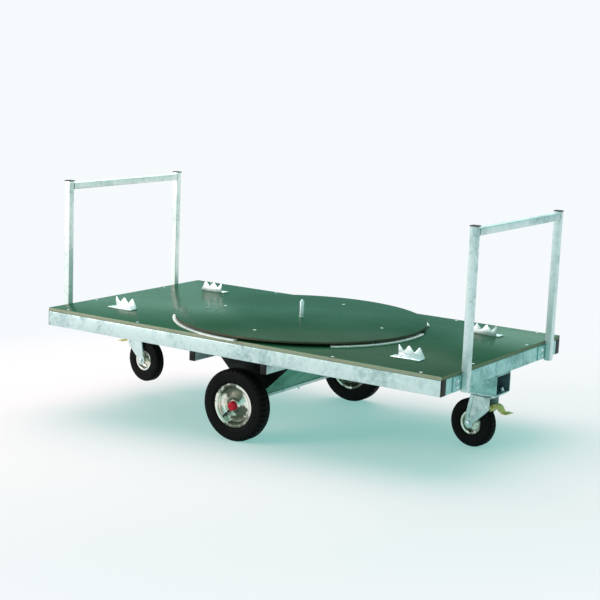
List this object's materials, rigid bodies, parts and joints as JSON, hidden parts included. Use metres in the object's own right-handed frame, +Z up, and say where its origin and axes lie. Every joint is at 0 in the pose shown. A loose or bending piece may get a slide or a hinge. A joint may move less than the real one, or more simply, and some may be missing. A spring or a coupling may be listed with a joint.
{
  "type": "platform truck with turntable",
  "caption": "Flatbed platform truck with a turntable set in the deck, a push frame at each end, middle wheels and end castors in a diamond.",
  "frame": {"origin": "on the floor under the middle of the deck", "axes": "+X along the deck's length to the right end, +Y across the deck to the far side, +Z up"},
  "size_m": [2.0994, 1.1398, 1.012],
  "materials": {
    "film_ply": "glossy dark phenolic film on plywood",
    "zinc": "hot-dip galvanised, mottled",
    "bright_zinc": "bright zinc plated",
    "yellow_zinc": "yellow passivated zinc",
    "tyre_rubber": "matt black",
    "black_plastic": "satin black",
    "red_plastic": "glossy red"
  },
  "bodies": {
    "frame": {"deck_board": "film_ply", "deck_screws": "bright_zinc", "side_rail_near": "zinc", "side_rail_far": "zinc", "end_rail_left": "zinc", "end_rail_right": "zinc", "inner_bearers": "zinc", "cross_beams": "zinc", "tube_plugs": "black_plastic", "castor_channel_left": "zinc", "castor_channel_right": "zinc", "trough_plate_left": "zinc", "trough_plate_right": "zinc", "trough_ends": "zinc", "axle": "zinc", "axle_bolt": "zinc", "spindle_collars": "zinc", "spindle_nuts": "zinc", "edge_ring": "bright_zinc", "bearing_ring_lower": "zinc", "pivot_pin": "bright_zinc", "pivot_nut": "zinc", "bracket_near_left": "bright_zinc", "bracket_near_right": "bright_zinc", "bracket_far_left": "bright_zinc", "bracket_far_right": "bright_zinc", "bracket_screws": "bright_zinc", "post_left_near": "zinc", "post_left_far": "zinc", "post_right_near": "zinc", "post_right_far": "zinc", "crossbar_left": "zinc", "crossbar_right": "zinc", "handle_caps": "black_plastic", "handle_lugs": "zinc", "handle_bolts": "bright_zinc", "castor_plates": "zinc", "castor_bolts": "bright_zinc", "kingpins": "zinc"},
    "turntable": {"turntable_disc": "film_ply", "bearing_ring_upper": "zinc", "disc_screws": "bright_zinc"},
    "wheel_near": {"wheel_rim_near": "bright_zinc", "wheel_tyre_near": "tyre_rubber", "hub_cap_near": "red_plastic", "valve_near": "black_plastic"},
    "wheel_far": {"wheel_rim_far": "bright_zinc", "wheel_tyre_far": "tyre_rubber", "hub_cap_far": "red_plastic", "valve_far": "black_plastic"},
    "castor_left": {"fork_left": "zinc", "fork_pins_left": "bright_zinc"},
    "castor_right": {"fork_right": "zinc", "fork_pins_right": "bright_zinc"},
    "castor_wheel_left": {"castor_rim_left": "bright_zinc", "castor_tyre_left": "tyre_rubber"},
    "castor_wheel_right": {"castor_rim_right": "bright_zinc", "castor_tyre_right": "tyre_rubber"},
    "brake_left": {"brake_pedal_left": "yellow_zinc"},
    "brake_right": {"brake_pedal_right": "yellow_zinc"}
  },
  "joints": [
    {"name": "turntable_turn", "type": "hinge", "parent": "frame", "child": "turntable", "pos_m": [0, 0, 0.4655], "axis": [0, 0, 1], "continuous": true},
    {"name": "wheel_near_spin", "type": "hinge", "parent": "frame", "child": "wheel_near", "pos_m": [0, -0.47, 0.155], "axis": [0, 1, 0], "continuous": true},
    {"name": "wheel_far_spin", "type": "hinge", "parent": "frame", "child": "wheel_far", "pos_m": [0, 0.47, 0.155], "axis": [0, 1, 0], "continuous": true},
    {"name": "castor_left_swivel", "type": "hinge", "parent": "frame", "child": "castor_left", "pos_m": [-0.925, 0, 0.26], "axis": [0, 0, 1], "continuous": true},
    {"name": "castor_right_swivel", "type": "hinge", "parent": "frame", "child": "castor_right", "pos_m": [0.925, 0, 0.26], "axis": [0, 0, 1], "continuous": true},
    {"name": "castor_left_spin", "type": "hinge", "parent": "castor_left", "child": "castor_wheel_left", "pos_m": [-0.87153, -0.00752, 0.141], "axis": [-0.1392, -0.9903, 0], "continuous": true},
    {"name": "castor_right_spin", "type": "hinge", "parent": "castor_right", "child": "castor_wheel_right", "pos_m": [0.87153, 0.00752, 0.141], "axis": [0.1392, 0.9903, 0], "continuous": true},
    {"name": "brake_left_press", "type": "hinge", "parent": "castor_left", "child": "brake_left", "pos_m": [-0.95768, 0.00459, 0.2225], "axis": [-0.1392, -0.9903, 0], "range_deg": [0, 7.5]},
    {"name": "brake_right_press", "type": "hinge", "parent": "castor_right", "child": "brake_right", "pos_m": [0.95768, -0.00459, 0.2225], "axis": [0.1392, 0.9903, 0], "range_deg": [0, 7.5]}
  ]
}
